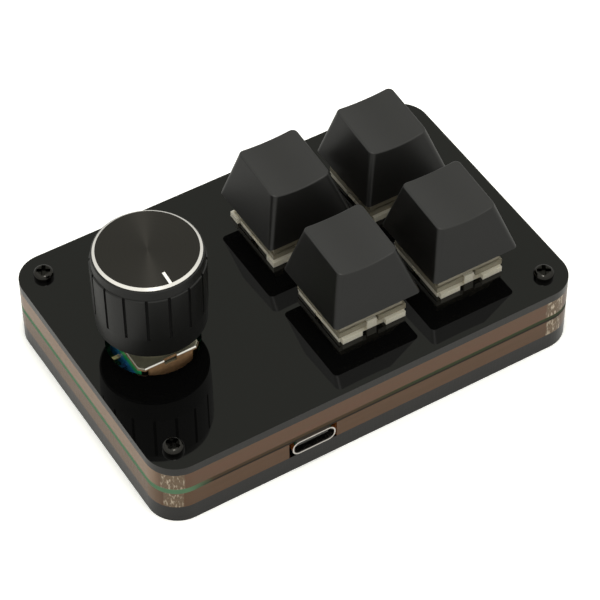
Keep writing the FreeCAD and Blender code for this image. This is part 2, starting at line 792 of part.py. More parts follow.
def make_switch_stem(name, x, y):
    """The sliding stem: a rod in the guide, a shelf below the roof and a cross for the cap."""
    body = new_body("switch_stem_" + name)
    sketch = new_sketch(body, "shelf_" + name, z="stem_underside")
    rectangle(sketch, "stem_shelf_length", "stem_shelf_depth")
    pad(body, sketch, "(%s - stem_stop_gap - stem_underside)" % ROOF_UNDERSIDE)
    sketch = new_sketch(body, "stem_block_" + name, z="stem_underside")
    rectangle(sketch, "stem_length", "stem_depth")
    pad(body, sketch, "(stem_shoulder - stem_underside)")
    for k, (width, depth) in enumerate(
        (("stem_cross_length", "stem_cross_thickness"), ("stem_cross_thickness", "stem_cross_length"))
    ):
        sketch = new_sketch(body, "cross_%d_%s" % (k, name), z="stem_shoulder")
        rectangle(sketch, width, depth)
        pad(body, sketch, "stem_cross_height")
    sketch = new_sketch(body, "rod_" + name, z="stem_underside")
    circle(sketch, "stem_rod_diameter")
    pad(body, sketch, "(stem_underside + stem_rod_drop)", down=True)
    place(body, x, y, CASE_HEIGHT)


def make_switch_spring(name, x, y):
    """One round wire wound about the guide, from the tray's floor to the stem's shelf."""
    wire = value("spring_wire")
    low = value("switch_floor - switch_depth") + wire / 2
    high = value("stem_underside") - wire / 2
    radius = value("spring_diameter") / 2 - wire / 2
    turns = int(value("spring_turns"))
    half_turn = QUARTERS
    steps = 2 * QUARTERS * turns
    points = []
    for k in range(steps + 1):
        angle = 2 * math.pi * turns * k / steps
        height = low + (high - low) * k / steps
        points.append(FreeCAD.Vector(radius * math.cos(angle), radius * math.sin(angle), height))
    arcs = [Part.Arc(points[k], points[k + 1], points[k + 2]).toShape() for k in range(0, steps, 2)]
    nearest = min(
        (points[j] - points[k]).Length
        for j in range(len(points))
        for k in range(j + half_turn, len(points))
    )
    print("spring %s: least gap to itself %.2f" % (name, nearest - wire))
    path = Part.Wire(arcs)
    start = arcs[0].tangentAt(arcs[0].FirstParameter)
    section = Part.Wire([Part.Circle(points[0], start, wire / 2).toShape()])
    spring = doc.addObject("Part::Feature", "switch_spring_" + name)
    spring.Label = "switch_spring_" + name
    spring.Shape = path.makePipeShell([section], True, False)
    return place(spring, x, y, CASE_HEIGHT)


def make_switch_contacts(name, x, y):
    """The two metal contacts that stand in the tray and reach down through the board."""
    blades = []
    for contact in ("fixed", "leaf"):
        height = "(post_length + switch_floor + %s_contact_rise)" % contact
        places = (contact + "_contact_x", contact + "_contact_y", "-(switch_depth + post_length)")
        blade = "%s_contact_%s" % (contact, name)
        blades.append(new_box(blade, "contact_width", "contact_thickness", height, *places))
    place(group("switch_contacts_" + name, blades), x, y, CASE_HEIGHT)


def make_keycap(name, x, y):
    """The hollow cap, with a tilted top, a scoop along Y and a boss for the stem's cross."""
    body = new_body("keycap_" + name)
    foot = new_sketch(body, "cap_foot_" + name, z="cap_skirt_rise")
    rounded_rectangle(foot, "cap_base_width", "cap_base_width", "cap_base_rounding")
    head = new_sketch(body, "cap_head_" + name, y="cap_top_shift", z="cap_top_rise")
    bind(head, "AttachmentOffset.Rotation.Axis.x", "1")
    bind(head, "AttachmentOffset.Rotation.Axis.z", "0")
    bind(head, "AttachmentOffset.Rotation.Angle", "cap_top_tilt")
    rounded_rectangle(head, "cap_top_length", "cap_top_depth", "cap_top_rounding")
    loft(body, foot, head)
    scoop = new_sketch(body, "cap_scoop_" + name, plane="XZ_Plane", z="0")
    bind(scoop, "AttachmentOffset.Rotation.Axis.x", "1")
    bind(scoop, "AttachmentOffset.Rotation.Axis.z", "0")
    bind(scoop, "AttachmentOffset.Rotation.Angle", "cap_top_tilt")
    lift = "(cap_top_rise + cap_scoop_radius - cap_scoop_depth)"
    circle(scoop, "(2 * cap_scoop_radius)", "0", lift)
    cut = pocket(body, scoop, "(2 * cap_base_width)")
    cut.Midplane = True
    round_above(body, cut, "(cap_skirt_rise + cap_top_rise) / 2", "cap_rim_rounding")
    hollow_foot = new_sketch(body, "cap_hollow_foot_" + name, z="cap_skirt_rise")
    inner = "(cap_base_width - 2 * cap_wall)"
    rectangle(hollow_foot, inner, inner)
    hollow_head = new_sketch(
        body,
        "cap_hollow_head_" + name,
        y="cap_top_shift",
        z="cap_top_rise - cap_scoop_depth - cap_roof",
    )
    rectangle(hollow_head, "(cap_top_length - cap_wall)", "(cap_top_depth - cap_wall)")
    loft(body, hollow_foot, hollow_head, cut=True)
    boss = new_sketch(body, "cap_boss_" + name, z="stem_shoulder")
    circle(boss, "cap_boss_diameter")
    pad(body, boss, "(cap_top_rise - cap_scoop_depth - cap_roof / 2 - stem_shoulder)")
    for k, (width, depth) in enumerate(
        (("stem_cross_length", "stem_cross_thickness"), ("stem_cross_thickness", "stem_cross_length"))
    ):
        sketch = new_sketch(body, "cap_cross_%d_%s" % (k, name), z="stem_shoulder")
        rectangle(sketch, "(%s + 2 * cap_cross_clearance)" % width, "(%s + 2 * cap_cross_clearance)" % depth)
        pocket(body, sketch, "(stem_cross_height + cap_cross_clearance)", up=True)
    place(body, x, y, CASE_HEIGHT)


# Encoder, each piece about the knob's axis


def encoder_pin_places():
    """Three pins on the left side of the encoder and two on its right side."""
    left = [("-encoder_pin_offset", "%d * encoder_pin_pitch" % k) for k in (-1, 0, 1)]
    right = [("encoder_pin_offset", "%d * encoder_pin_pitch" % k) for k in SIDES]
    return left + right


def bracket_side(side_y):
    """How far along Y the middle of the bracket's front or back wall lies from the knob's axis."""
    return "%d * (bracket_depth - bracket_apron_thickness) / 2" % side_y


def make_encoder_housing():
    """The plastic block that stands on the board and holds the rotor."""
    body = new_body("encoder_housing")
    sketch = new_sketch(body, "encoder_block")
    rectangle(sketch, "encoder_length", "encoder_depth")
    pad(body, sketch, "encoder_height")
    sketch = new_sketch(body, "encoder_well", z="encoder_floor")
    circle(sketch, "encoder_bore")
    pocket(body, sketch, "encoder_height", up=True)
    place(body, KNOB_X, z=BOARD_TOP)


def make_encoder_bracket():
    """The bent metal cover over the housing, with an apron and a leg at its front and back."""
    body = new_body("encoder_bracket")
    sketch = new_sketch(body, "bracket_plate")
    half_x, half_y, cut = "bracket_length / 2", "bracket_depth / 2", "bracket_corner"
    near_x, near_y = "(%s - %s)" % (half_x, cut), "(%s - %s)" % (half_y, cut)
    outline(
        sketch,
        (
            (near_x, "-" + half_y),
            (half_x, "-" + near_y),
            (half_x, near_y),
            (near_x, half_y),
            ("-" + near_x, half_y),
            ("-" + half_x, near_y),
            ("-" + half_x, "-" + near_y),
            ("-" + near_x, "-" + half_y),
        ),
    )
    plate = pad(body, sketch, "bracket_roof")
    round_above(body, plate, "bracket_roof / 2", "bracket_bend_radius")
    sketch = new_sketch(body, "bracket_aprons")
    for side_y in SIDES:
        rectangle(sketch, "bracket_apron_width", "bracket_apron_thickness", "0", bracket_side(side_y))
    pad(body, sketch, "bracket_apron_drop", down=True)
    sketch = new_sketch(body, "bracket_legs")
    for side_y in SIDES:
        rectangle(sketch, "bracket_leg_width", "bracket_apron_thickness", "0", bracket_side(side_y))
    pad(body, sketch, "(encoder_height + board_thickness + bracket_leg_reach)", down=True)
    sketch = new_sketch(body, "bracket_notches", z="-bracket_notch_drop")
    for side_y in SIDES:
        middle_y = "%d * bracket_depth / 2" % side_y
        rectangle(sketch, "bracket_notch_width", "(2 * bracket_apron_thickness)", "0", middle_y)
    pocket(body, sketch, "(bracket_roof + bracket_notch_drop)", up=True)
    sketch = new_sketch(body, "bracket_shaft_hole")
    circle(sketch, "bracket_hole")
    pocket(body, sketch, "bracket_roof", up=True)
    place(body, KNOB_X, z=BOARD_TOP + " + encoder_height")


def make_encoder_bushing():
    """The fixed sleeve that the shaft turns and slides in."""
    body = new_body("encoder_bushing")
    sketch = new_sketch(body, "bushing_flange")
    circle(sketch, "bushing_flange_diameter")
    pad(body, sketch, "bushing_flange_height")
    sketch = new_sketch(body, "bushing_sleeve")
    circle(sketch, "bushing_diameter")
    pad(body, sketch, "bushing_length")
    sketch = new_sketch(body, "bushing_bore")
    circle(sketch, "(shaft_diameter + 2 * shaft_running_clearance)")
    pocket(body, sketch, "bushing_length", up=True)
    place(body, KNOB_X, z=BRACKET_TOP)


def make_encoder_shaft():
    """The turning shaft, with a flat along its upper end."""
    body = new_body("encoder_shaft")
    sketch = new_sketch(body, "shaft_round")
    circle(sketch, "shaft_diameter")
    pad(body, sketch, "(shaft_tail + shaft_reach - shaft_flat_length)")
    sketch = new_sketch(body, "shaft_flatted", z="(shaft_tail + shaft_reach - shaft_flat_length)")
    d_outline(sketch, "shaft_diameter", "shaft_flat_depth")
    pad(body, sketch, "shaft_flat_length")
    turn_with_knob(body)
    place(body, KNOB_X, z=SHAFT_FOOT)


def make_encoder_rotor():
    """The contact disc on the shaft's lower end."""
    body = new_body("encoder_rotor")
    sketch = new_sketch(body, "rotor_disc")
    circle(sketch, "rotor_diameter")
    pad(body, sketch, "rotor_thickness")
    sketch = new_sketch(body, "rotor_hub")
    circle(sketch, "rotor_hub_diameter")
    pad(body, sketch, "rotor_hub_height")
    sketch = new_sketch(body, "rotor_bore")
    circle(sketch, "(shaft_diameter + 2 * rotor_fit)")
    pocket(body, sketch, "rotor_hub_height", up=True)
    place(body, KNOB_X, z=BRACKET_TOP + " - rotor_drop")


def make_encoder_plunger():
    """The disc below the shaft that presses the dome and doesn't turn."""
    body = new_body("encoder_plunger")
    sketch = new_sketch(body, "plunger_disc")
    circle(sketch, "plunger_diameter")
    pad(body, sketch, "plunger_thickness", down=True)
    place(body, KNOB_X, z=SHAFT_FOOT)


def make_encoder_dome():
    """The contact plate on the housing's floor that the plunger meets."""
    body = new_body("encoder_dome")
    sketch = new_sketch(body, "dome_disc")
    circle(sketch, "dome_diameter")
    pad(body, sketch, "dome_thickness")
    place(body, KNOB_X, z=BOARD_TOP + " + encoder_floor")


def make_encoder_pins():
    """Five bent pins from the housing's sides down through the board, as one piece."""
    drop = "(board_thickness + encoder_pin_reach)"
    reach = "(encoder_pin_offset + encoder_pin_thickness / 2 - encoder_length / 2)"
    pins = []
    for k, (x, y) in enumerate(encoder_pin_places()):
        side = -1 if x.startswith("-") else 1
        arm_x = "%d * (encoder_length + %s) / 2" % (side, reach)
        leg = new_box(
            "encoder_pin_leg_%d" % k,
            "encoder_pin_thickness",
            "encoder_pin_width",
            "(%s + encoder_pin_rise)" % drop,
            x,
            y,
            "-" + drop,
        )
        arm = new_box(
            "encoder_pin_arm_%d" % k,
            reach,
            "encoder_pin_width",
            "encoder_pin_thickness",
            arm_x,
            y,
            "encoder_pin_rise",
        )
        pin = doc.addObject("Part::Fuse", "encoder_pin_%d" % k)
        pin.Base = leg
        pin.Tool = arm
        pin.Refine = True
        pins.append(pin)
    place(group("encoder_pins", pins), KNOB_X, z=BOARD_TOP)


# Knob


def turn_with_knob(body):
    """Turns a piece about the knob's axis by the angle at which the knob stands."""
    bind(body, "Placement.Rotation.Angle", "knob_turn")


def make_knob_body():
    """The moulded knob: a grooved grip, a smooth band, a seat for the disc and a hub."""
    body = new_body("knob_body")
    sketch = new_sketch(body, "knob_profile", plane="XZ_Plane")
    outline(
        sketch,
        (
            ("0", "0"),
            ("knob_foot_radius", "0"),
            ("knob_foot_radius + knob_foot_chamfer", "knob_foot_chamfer"),
            ("knob_waist_radius", "knob_groove_start"),
            ("knob_grip_radius", "knob_groove_end - knob_shoulder"),
            ("knob_grip_radius - knob_shoulder", "knob_groove_end"),
            ("knob_band_radius", "knob_groove_end"),
            ("knob_rim_radius", "knob_height - knob_rim_chamfer"),
            ("knob_rim_radius - knob_rim_chamfer", "knob_height"),
            ("0", "knob_height"),
        ),
    )
    revolve(body, sketch)
    sketch = new_sketch(body, "disc_seat", z="knob_height")
    circle(sketch, "(disc_diameter + 2 * disc_seat_clearance)")
    pocket(body, sketch, "disc_seat_depth")
    sketch = new_sketch(body, "knob_cavity")
    circle(sketch, "knob_cavity_diameter")
    pocket(body, sketch, "knob_cavity_depth", up=True)
    sketch = new_sketch(body, "knob_hub", z="knob_hub_lift")
    circle(sketch, "knob_hub_diameter")
    pad(body, sketch, "(knob_cavity_depth - knob_hub_lift)")
    shaft_top = "(%s + shaft_reach - %s)" % (BRACKET_TOP, KNOB_FOOT)
    sketch = new_sketch(body, "knob_round_bore")
    circle(sketch, "(shaft_diameter + 2 * knob_bore_clearance)")
    pocket(body, sketch, "(%s - shaft_flat_length)" % shaft_top, up=True)
    sketch = new_sketch(body, "knob_flatted_bore")
    d_outline(sketch, "(shaft_diameter + 2 * knob_bore_clearance)", "shaft_flat_depth")
    pocket(body, sketch, "(%s + knob_bore_end_gap)" % shaft_top, up=True)
    sketch = new_sketch(body, "knob_groove", z="knob_groove_start")
    bind(sketch, "AttachmentOffset.Rotation.Angle", "knob_groove_turn")
    depth = "(knob_groove_depth + overrun)"
    middle = "(knob_grip_radius - knob_groove_depth + %s / 2)" % depth
    rectangle(sketch, depth, "knob_groove_width", middle)
    groove = pocket(body, sketch, "(knob_groove_end - knob_groove_start)", up=True)
    doc.recompute()
    grooves = body.newObject("PartDesign::PolarPattern", "knob_grooves")
    grooves.Originals = [groove]
    axis = [feature for feature in body.Origin.OriginFeatures if feature.Role == "Z_Axis"]
    grooves.Axis = (axis[0], [""])
    grooves.Angle = FULL_TURN
    bind(grooves, "Occurrences", "knob_groove_count")
    body.Tip = grooves
    turn_with_knob(body)
    place(body, KNOB_X, z=KNOB_FOOT)


def make_knob_disc():
    """The metal disc in the knob's top, with a bright chamfer and a slot for the pointer."""
    body = new_body("knob_disc")
    sketch = new_sketch(body, "disc_profile", plane="XZ_Plane")
    outline(
        sketch,
        (
            ("0", "0"),
            ("disc_diameter / 2", "0"),
            ("disc_diameter / 2", "disc_thickness - disc_chamfer_height"),
            ("disc_diameter / 2 - disc_chamfer_width", "disc_thickness"),
            ("0", "disc_thickness"),
        ),
    )
    revolve(body, sketch)
    sketch = new_sketch(body, "pointer_slot", z="disc_thickness")
    length = "(disc_diameter / 2 - disc_chamfer_width - pointer_inner_radius)"
    middle = "-(disc_diameter / 2 - disc_chamfer_width + pointer_inner_radius) / 2"
    rectangle(sketch, "pointer_width", length, "0", middle)
    pocket(body, sketch, "pointer_depth")
    turn_with_knob(body)
    place(body, KNOB_X, z=KNOB_FOOT + " + knob_height - disc_seat_depth")


def make_knob_pointer():
    """The pale line let into the disc, from near its middle to the chamfer."""
    body = new_body("knob_pointer")
    sketch = new_sketch(body, "pointer_line")
    length = "(disc_diameter / 2 - disc_chamfer_width - pointer_inner_radius)"
    middle = "-(disc_diameter / 2 - disc_chamfer_width + pointer_inner_radius) / 2"
    rectangle(sketch, "pointer_width", length, "0", middle)
    pad(body, sketch, "pointer_depth", down=True)
    turn_with_knob(body)
    place(body, KNOB_X, z=KNOB_FOOT + " + knob_height - disc_seat_depth + disc_thickness")


# Cable socket and the parts soldered under the board


def make_socket_shell():
    """The pressed metal shell of the cable socket, open at the front."""
    body = new_body("usb_socket_shell")
    sketch = new_sketch(body, "shell_outline", plane="XZ_Plane")
    rounded_rectangle(sketch, "socket_width", "socket_height", "socket_rounding")
    pad(body, sketch, "socket_length", down=True)
    sketch = new_sketch(body, "shell_mouth", plane="XZ_Plane")
    rounded_rectangle(
        sketch,
        "(socket_width - 2 * socket_wall)",
        "(socket_height - 2 * socket_wall)",
        "(socket_rounding - socket_wall)",
    )
    pocket(body, sketch, "socket_length")
    place_socket_piece(body)


def make_socket_insert():
    """The black moulding inside the shell: a block across the back and a thin tongue."""
    body = new_body("usb_socket_insert")
    sketch = new_sketch(body, "insert_block", plane="XZ_Plane", z="-(socket_length - socket_back_length)")
    rounded_rectangle(
        sketch,
        "(socket_width - 2 * socket_wall)",
        "(socket_height - 2 * socket_wall)",
        "(socket_rounding - socket_wall)",
    )
    pad(body, sketch, "socket_back_length", down=True)
    sketch = new_sketch(body, "insert_tongue", plane="XZ_Plane", z="-socket_tongue_setback")
    rectangle(sketch, "socket_tongue_width", "socket_tongue_thickness")
    pad(body, sketch, "(socket_length - socket_tongue_setback)", down=True)
    place_socket_piece(body)


def place_socket_piece(body):
    """Puts a socket piece against the board's underside, standing a little out of the case's front."""
    place(body, SOCKET_X, "-(case_depth / 2 + socket_protrusion)", BOARD_BASE + " - socket_height / 2")


def make_controller_chip():
    """The square controller chip under the board."""
    sizes = ("chip_width", "chip_width", "chip_thickness")
    pieces.append(new_box("controller_chip", *sizes, CHIP_X, "chip_y", BOARD_BASE + " - chip_thickness"))


def make_small_parts():
    """The small resistors, capacitors and diodes under the board, as one piece."""
    sizes = ("small_part_length", "small_part_width", "small_part_thickness")
    blocks = []
    for k, (share_x, share_y) in enumerate(SMALL_PART_SHARES):
        x, y = "%s * case_length" % share_x, "%s * case_depth" % share_y
        blocks.append(new_box("small_part_%d" % k, *sizes, x, y, BOARD_BASE + " - small_part_thickness"))
    pieces.append(group("board_small_parts", blocks))


def make_switches():
    """Four switches with their caps."""
    for name, (share_x, share_y) in SWITCH_PLACE_SHARES.items():
        x, y = switch_place(share_x, share_y)
        make_switch_base(name, x, y)
        make_switch_top(name, x, y)
        make_switch_stem(name, x, y)
        make_switch_spring(name, x, y)
        make_switch_contacts(name, x, y)
        make_keycap(name, x, y)


def check_document():
    """Stops if an object failed, a cut removed nothing or a piece isn't a sound solid."""
    for thing in doc.Objects:
        if "Invalid" in thing.State or "Error" in thing.State:
            raise RuntimeError("failed object: " + thing.Name)
        if thing.TypeId in ("PartDesign::Pocket", "PartDesign::SubtractiveLoft"):
            before = thing.BaseFeature.Shape.Volume
            if thing.Shape.Volume >= before - NEGLIGIBLE:
                raise RuntimeError("a cut removed nothing: " + thing.Name)
    for piece in pieces:
        if piece.Shape.isNull() or not piece.Shape.isValid() or not piece.Shape.Solids:
            raise RuntimeError("unsound piece: " + piece.Label)


def main():
    """Builds every piece, checks it and writes one file for each."""
    os.makedirs("parts", exist_ok=True)
    fill_sheet()
    make_bottom_plate()
    make_spacer("lower_spacer", "bottom_plate_thickness", slot=True)
    make_circuit_board()
    make_spacer("upper_spacer", BOARD_TOP)
    make_top_plate()
    make_case_screws()
    make_case_nuts()
    make_switches()
    make_encoder_housing()
    make_encoder_bracket()
    make_encoder_bushing()
    make_encoder_shaft()
    make_encoder_rotor()
    make_encoder_plunger()
    make_encoder_dome()
    make_encoder_pins()
    make_knob_body()
    make_knob_disc()
    make_knob_pointer()
    make_socket_shell()
    make_socket_insert()
    make_controller_chip()
    make_small_parts()
    doc.recompute()
    check_document()
    for piece in pieces:
        piece.Shape.exportStep("parts/%s.step" % piece.Label)
        solids = len(piece.Shape.Solids)
        print("%-28s solids %d  volume %.2f" % (piece.Label, solids, piece.Shape.Volume))


main()
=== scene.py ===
import math

import bpy
from mathutils import Matrix, Vector


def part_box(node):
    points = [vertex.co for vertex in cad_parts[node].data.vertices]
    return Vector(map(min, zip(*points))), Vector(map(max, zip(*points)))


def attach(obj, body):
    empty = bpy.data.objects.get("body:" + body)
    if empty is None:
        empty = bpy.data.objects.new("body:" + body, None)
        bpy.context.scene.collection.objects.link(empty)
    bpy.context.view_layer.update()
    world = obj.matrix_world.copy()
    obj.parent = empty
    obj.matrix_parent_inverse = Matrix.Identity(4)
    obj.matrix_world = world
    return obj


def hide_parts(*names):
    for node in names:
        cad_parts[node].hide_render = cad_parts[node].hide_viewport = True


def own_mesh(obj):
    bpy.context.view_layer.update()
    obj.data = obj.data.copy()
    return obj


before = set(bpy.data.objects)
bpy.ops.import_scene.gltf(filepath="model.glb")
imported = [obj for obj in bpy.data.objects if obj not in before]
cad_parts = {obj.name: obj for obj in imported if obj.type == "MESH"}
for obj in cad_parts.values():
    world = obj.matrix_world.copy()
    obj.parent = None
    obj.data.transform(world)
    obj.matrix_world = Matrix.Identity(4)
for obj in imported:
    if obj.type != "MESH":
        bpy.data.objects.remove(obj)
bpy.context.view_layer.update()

# Macro keypad: a layered acrylic case with four sculpted keycaps and one knob.
# Everything is in metres, in the model's own frame: +X runs from the knob to the keys.

MM = 0.001
KEYS = ("left_back", "right_back", "left_front", "right_front")

# Sizes of the real pieces that the finishes and the springs follow
THREAD_PITCH = 0.4 * MM
SCREW_HEAD_RADIUS = 1.95 * MM
DISC_FACE_RADIUS = 9.17 * MM
SPRING_TURNS = 9.0
SPRING_WIRE_RADIUS = 0.15 * MM

# The painted light in the cable socket's slot reaches this far from its middle, and starts this far forward
SLOT_LIGHT_REACH = 5.25 * MM
SLOT_LIGHT_FRONT = -28.9 * MM


# Helpers


def linear(code):
    """An sRGB hex colour as linear red, green, blue and alpha."""
    parts = [int(code[k : k + 2], 16) / 255 for k in (1, 3, 5)]
    return [c / 12.92 if c <= 0.04045 else ((c + 0.055) / 1.055) ** 2.4 for c in parts] + [1.0]


# A Mix node takes two colours at its sockets 6 and 7 and gives one at output 2. With plain numbers
# it takes them at 2 and 3 and gives one at output 0.


def add(tree, kind, inputs=None, output=0, **settings):
    """Adds a node with its settings, sets or links its inputs, and gives back one of its outputs."""
    made = tree.nodes.new(kind)
    for name, setting in settings.items():
        setattr(made, name, setting)
    for key, source in (inputs or {}).items():
        if isinstance(source, bpy.types.NodeSocket):
            tree.links.new(source, made.inputs[key])
        else:
            made.inputs[key].default_value = source
    return made.outputs[output] if made.outputs else None


def new_material(name, **inputs):
    """A material with one principled shader, and the object coordinates that its patterns follow."""
    material = bpy.data.materials.new(name)
    material.use_nodes = True
    tree = material.node_tree
    tree.nodes.clear()
    values = {key.replace("_", " "): value for key, value in inputs.items()}
    shader = add(tree, "ShaderNodeBsdfPrincipled", values)
    add(tree, "ShaderNodeOutputMaterial", {"Surface": shader})
    return material, tree, shader.node.inputs, add(tree, "ShaderNodeTexCoord", output="Object")


def grain(tree, coords, size, detail=2.0, stretch=(1, 1, 1)):
    """Noise whose blobs are about one size across, in metres, and may be drawn out along an axis."""
    drawn = add(tree, "ShaderNodeMapping", {"Vector": coords, "Scale": stretch})
    return add(tree, "ShaderNodeTexNoise", {"Vector": drawn, "Scale": 1 / size, "Detail": detail})


def level_share(tree):
    """0 on the upright sides of a piece and 1 on its flat top and bottom."""
    normal = add(tree, "ShaderNodeTexCoord", output="Normal")
    z = add(tree, "ShaderNodeSeparateXYZ", {0: normal}, output=2)
    size = add(tree, "ShaderNodeMath", {0: z}, operation="ABSOLUTE")
    return add(tree, "ShaderNodeMapRange", {"Value": size, "From Min": 0.6, "From Max": 0.8})


# Materials


def polished_black_acrylic():
    """Cast acrylic, dyed black: mirror-smooth faces, and laser-cut edges that scatter more light."""
    material, tree, shader, coords = new_material("polished_black_acrylic", IOR=1.49)
    face = level_share(tree)
    # Laser-cut edges carry upright ripples about 0.35 mm apart
    ripple = grain(tree, coords, 0.35 * MM, 1.0, (1, 1, 0.06))
    tones = {0: ripple, 6: linear("#161514"), 7: linear("#22201f")}
    edge = add(tree, "ShaderNodeMix", tones, 2, data_type="RGBA")
    faces = {0: face, 6: edge, 7: linear("#060606")}
    tree.links.new(add(tree, "ShaderNodeMix", faces, 2, data_type="RGBA"), shader["Base Color"])
    # A few faint smears keep the gloss from looking drawn
    smear = grain(tree, coords, 9 * MM, 3.0)
    range_of_gloss = {"Value": smear, "From Min": 0.35, "From Max": 0.75, "To Min": 0.015, "To Max": 0.05}
    gloss = add(tree, "ShaderNodeMapRange", range_of_gloss)
    tree.links.new(add(tree, "ShaderNodeMix", {0: face, 2: 0.16, 3: gloss}), shader["Roughness"])
    height = add(tree, "ShaderNodeMix", {0: face, 2: ripple, 3: 0.5})
    tree.links.new(add(tree, "ShaderNodeBump", {"Height": height, "Distance": 0.02 * MM}), shader["Normal"])
    return material


def painted_screw_view_share(tree, coords, hole_radius, screw_place):
    """1 where a corner's screw hole is painted on the cut wall, a painted view of the screw through the
    clear acrylic, and 0 elsewhere.
    """
    x = add(tree, "ShaderNodeSeparateXYZ", {0: coords}, "X")
    y = add(tree, "ShaderNodeSeparateXYZ", {0: coords}, "Y")
    # The painted screw view is set on the slant, less so at the keys' end, and the round corner widens it
    # as a lens does
    knob_end_lean = 0.66
    keys_end_lean = 0.12
    knob_end_radius = 1.8 * hole_radius
    keys_end_radius = 1.35 * hole_radius
    keys_end = add(tree, "ShaderNodeMath", {0: x, 1: 0.0}, operation="GREATER_THAN")
    screw_x = add(tree, "ShaderNodeMix", {0: keys_end, 2: -screw_place.x, 3: screw_place.x})
    lean = add(tree, "ShaderNodeMix", {0: keys_end, 2: knob_end_lean, 3: keys_end_lean})
    wide = add(tree, "ShaderNodeMix", {0: keys_end, 2: knob_end_radius, 3: keys_end_radius})
    outward = add(tree, "ShaderNodeMath", {0: y}, operation="ABSOLUTE")
    outward = add(tree, "ShaderNodeMath", {0: outward, 1: screw_place.y}, operation="SUBTRACT")
    slanted = add(tree, "ShaderNodeMath", {0: outward, 1: lean}, operation="MULTIPLY")
    aside = add(tree, "ShaderNodeMath", {0: x, 1: screw_x}, operation="SUBTRACT")
    aside = add(tree, "ShaderNodeMath", {0: aside, 1: slanted}, operation="ADD")
    aside = add(tree, "ShaderNodeMath", {0: aside}, operation="ABSOLUTE")
    aside = add(tree, "ShaderNodeMath", {0: aside, 1: wide}, operation="SUBTRACT")
    edges = {"Value": aside, "From Min": 0.15 * MM, "From Max": -0.15 * MM}
    inside = add(tree, "ShaderNodeMapRange", edges)
    corner = add(tree, "ShaderNodeMath", {0: outward, 1: 0.0}, operation="GREATER_THAN")
    return add(tree, "ShaderNodeMath", {0: inside, 1: corner}, operation="MULTIPLY")


def painted_thread_view(tree, coords, foot):
    """A screw's thread painted as seen through the acrylic: dull turns, with painted glints that run up and
    down.
    """
    z = add(tree, "ShaderNodeSeparateXYZ", {0: coords}, "Z")
    up = add(tree, "ShaderNodeMath", {0: z, 1: foot}, operation="SUBTRACT")
    turns = add(tree, "ShaderNodeMath", {0: up, 1: 2 * math.pi / THREAD_PITCH}, operation="MULTIPLY")
    thread = add(tree, "ShaderNodeMath", {0: turns}, operation="SINE")
    thread = add(tree, "ShaderNodeMapRange", {"Value": thread, "From Min": -1.0, "From Max": 1.0})
    dull = {0: thread, 6: linear("#55432f"), 7: linear("#7c664e")}
    dull = add(tree, "ShaderNodeMix", dull, 2, data_type="RGBA")
    # Painted glints: pale streaks that stand for light glinting off the thread
    glints = grain(tree, coords, 0.4 * MM, 3.0, (1, 1, 0.35))
    glint = add(tree, "ShaderNodeMapRange", {"Value": glints, "From Min": 0.52, "From Max": 0.72})
    return add(tree, "ShaderNodeMix", {0: glint, 6: dull, 7: linear("#cbbba5")}, 2, data_type="RGBA")


def painted_slot_light_share(tree, coords, slot_middle):
    """1 inside the front wall's slot, where painted light stands for light coming through the acrylic
    beside the cable socket.
    """
    x = add(tree, "ShaderNodeSeparateXYZ", {0: coords}, "X")
    y = add(tree, "ShaderNodeSeparateXYZ", {0: coords}, "Y")
    away = add(tree, "ShaderNodeMath", {0: x, 1: slot_middle}, operation="SUBTRACT")
    away = add(tree, "ShaderNodeMath", {0: away}, operation="ABSOLUTE")
    within = add(tree, "ShaderNodeMath", {0: away, 1: SLOT_LIGHT_REACH}, operation="LESS_THAN")
    behind_face = add(tree, "ShaderNodeMath", {0: y, 1: SLOT_LIGHT_FRONT}, operation="GREATER_THAN")
    lit = add(tree, "ShaderNodeMath", {0: within, 1: behind_face}, operation="MULTIPLY")
    front_half = add(tree, "ShaderNodeMath", {0: y, 1: 0.0}, operation="LESS_THAN")
    return add(tree, "ShaderNodeMath", {0: lit, 1: front_half}, operation="MULTIPLY")


def laser_cut_acrylic(name, first, second, painted_end_light, hole_radius, screw_place, slot_middle=None):
    """Clear acrylic over brown masking paper, with each corner's screw painted on as seen through it,
    painted light at the knob's end, and painted light in the slot when one is given.
    """
    material, tree, shader, coords = new_material(name, IOR=1.49)
    # The paper's fibres run along the walls
    fibres = grain(tree, coords, 1.6 * MM, 4.0, (0.12, 0.12, 1.6))
    paper = {0: fibres, 6: linear(first), 7: linear(second)}
    paper = add(tree, "ShaderNodeMix", paper, 2, data_type="RGBA")
    # At the knob's end the wall is painted paler, a painted light that stands for light coming through the
    # acrylic there
    x = add(tree, "ShaderNodeSeparateXYZ", {0: coords}, "X")
    end = add(tree, "ShaderNodeMapRange", {"Value": x, "From Min": -43 * MM, "From Max": -43.9 * MM})
    paper = add(tree, "ShaderNodeMix", {0: end, 6: paper, 7: linear(painted_end_light)}, 2, data_type="RGBA")
    # A painted view of each corner's screw through the clear acrylic, with painted glints
    hole = painted_screw_view_share(tree, coords, hole_radius, screw_place)
    shown = {0: hole, 6: paper, 7: painted_thread_view(tree, coords, screw_place.z)}
    shown = add(tree, "ShaderNodeMix", shown, 2, data_type="RGBA")
    if slot_middle is not None:
        # Painted light: a warm orange where light comes through beside the cable socket
        lit = painted_slot_light_share(tree, coords, slot_middle)
        shown = add(tree, "ShaderNodeMix", {0: lit, 6: shown, 7: linear("#8e5226")}, 2, data_type="RGBA")
    tree.links.new(shown, shader["Base Color"])
    # The laser leaves upright ripples about 0.4 mm apart
    ripple = grain(tree, coords, 0.4 * MM, 2.0, (1, 1, 0.08))
    gloss = {"Value": ripple, "From Min": 0.3, "From Max": 0.7, "To Min": 0.12, "To Max": 0.26}
    tree.links.new(add(tree, "ShaderNodeMapRange", gloss), shader["Roughness"])
    tree.links.new(add(tree, "ShaderNodeBump", {"Height": ripple, "Distance": 0.02 * MM}), shader["Normal"])
    return material


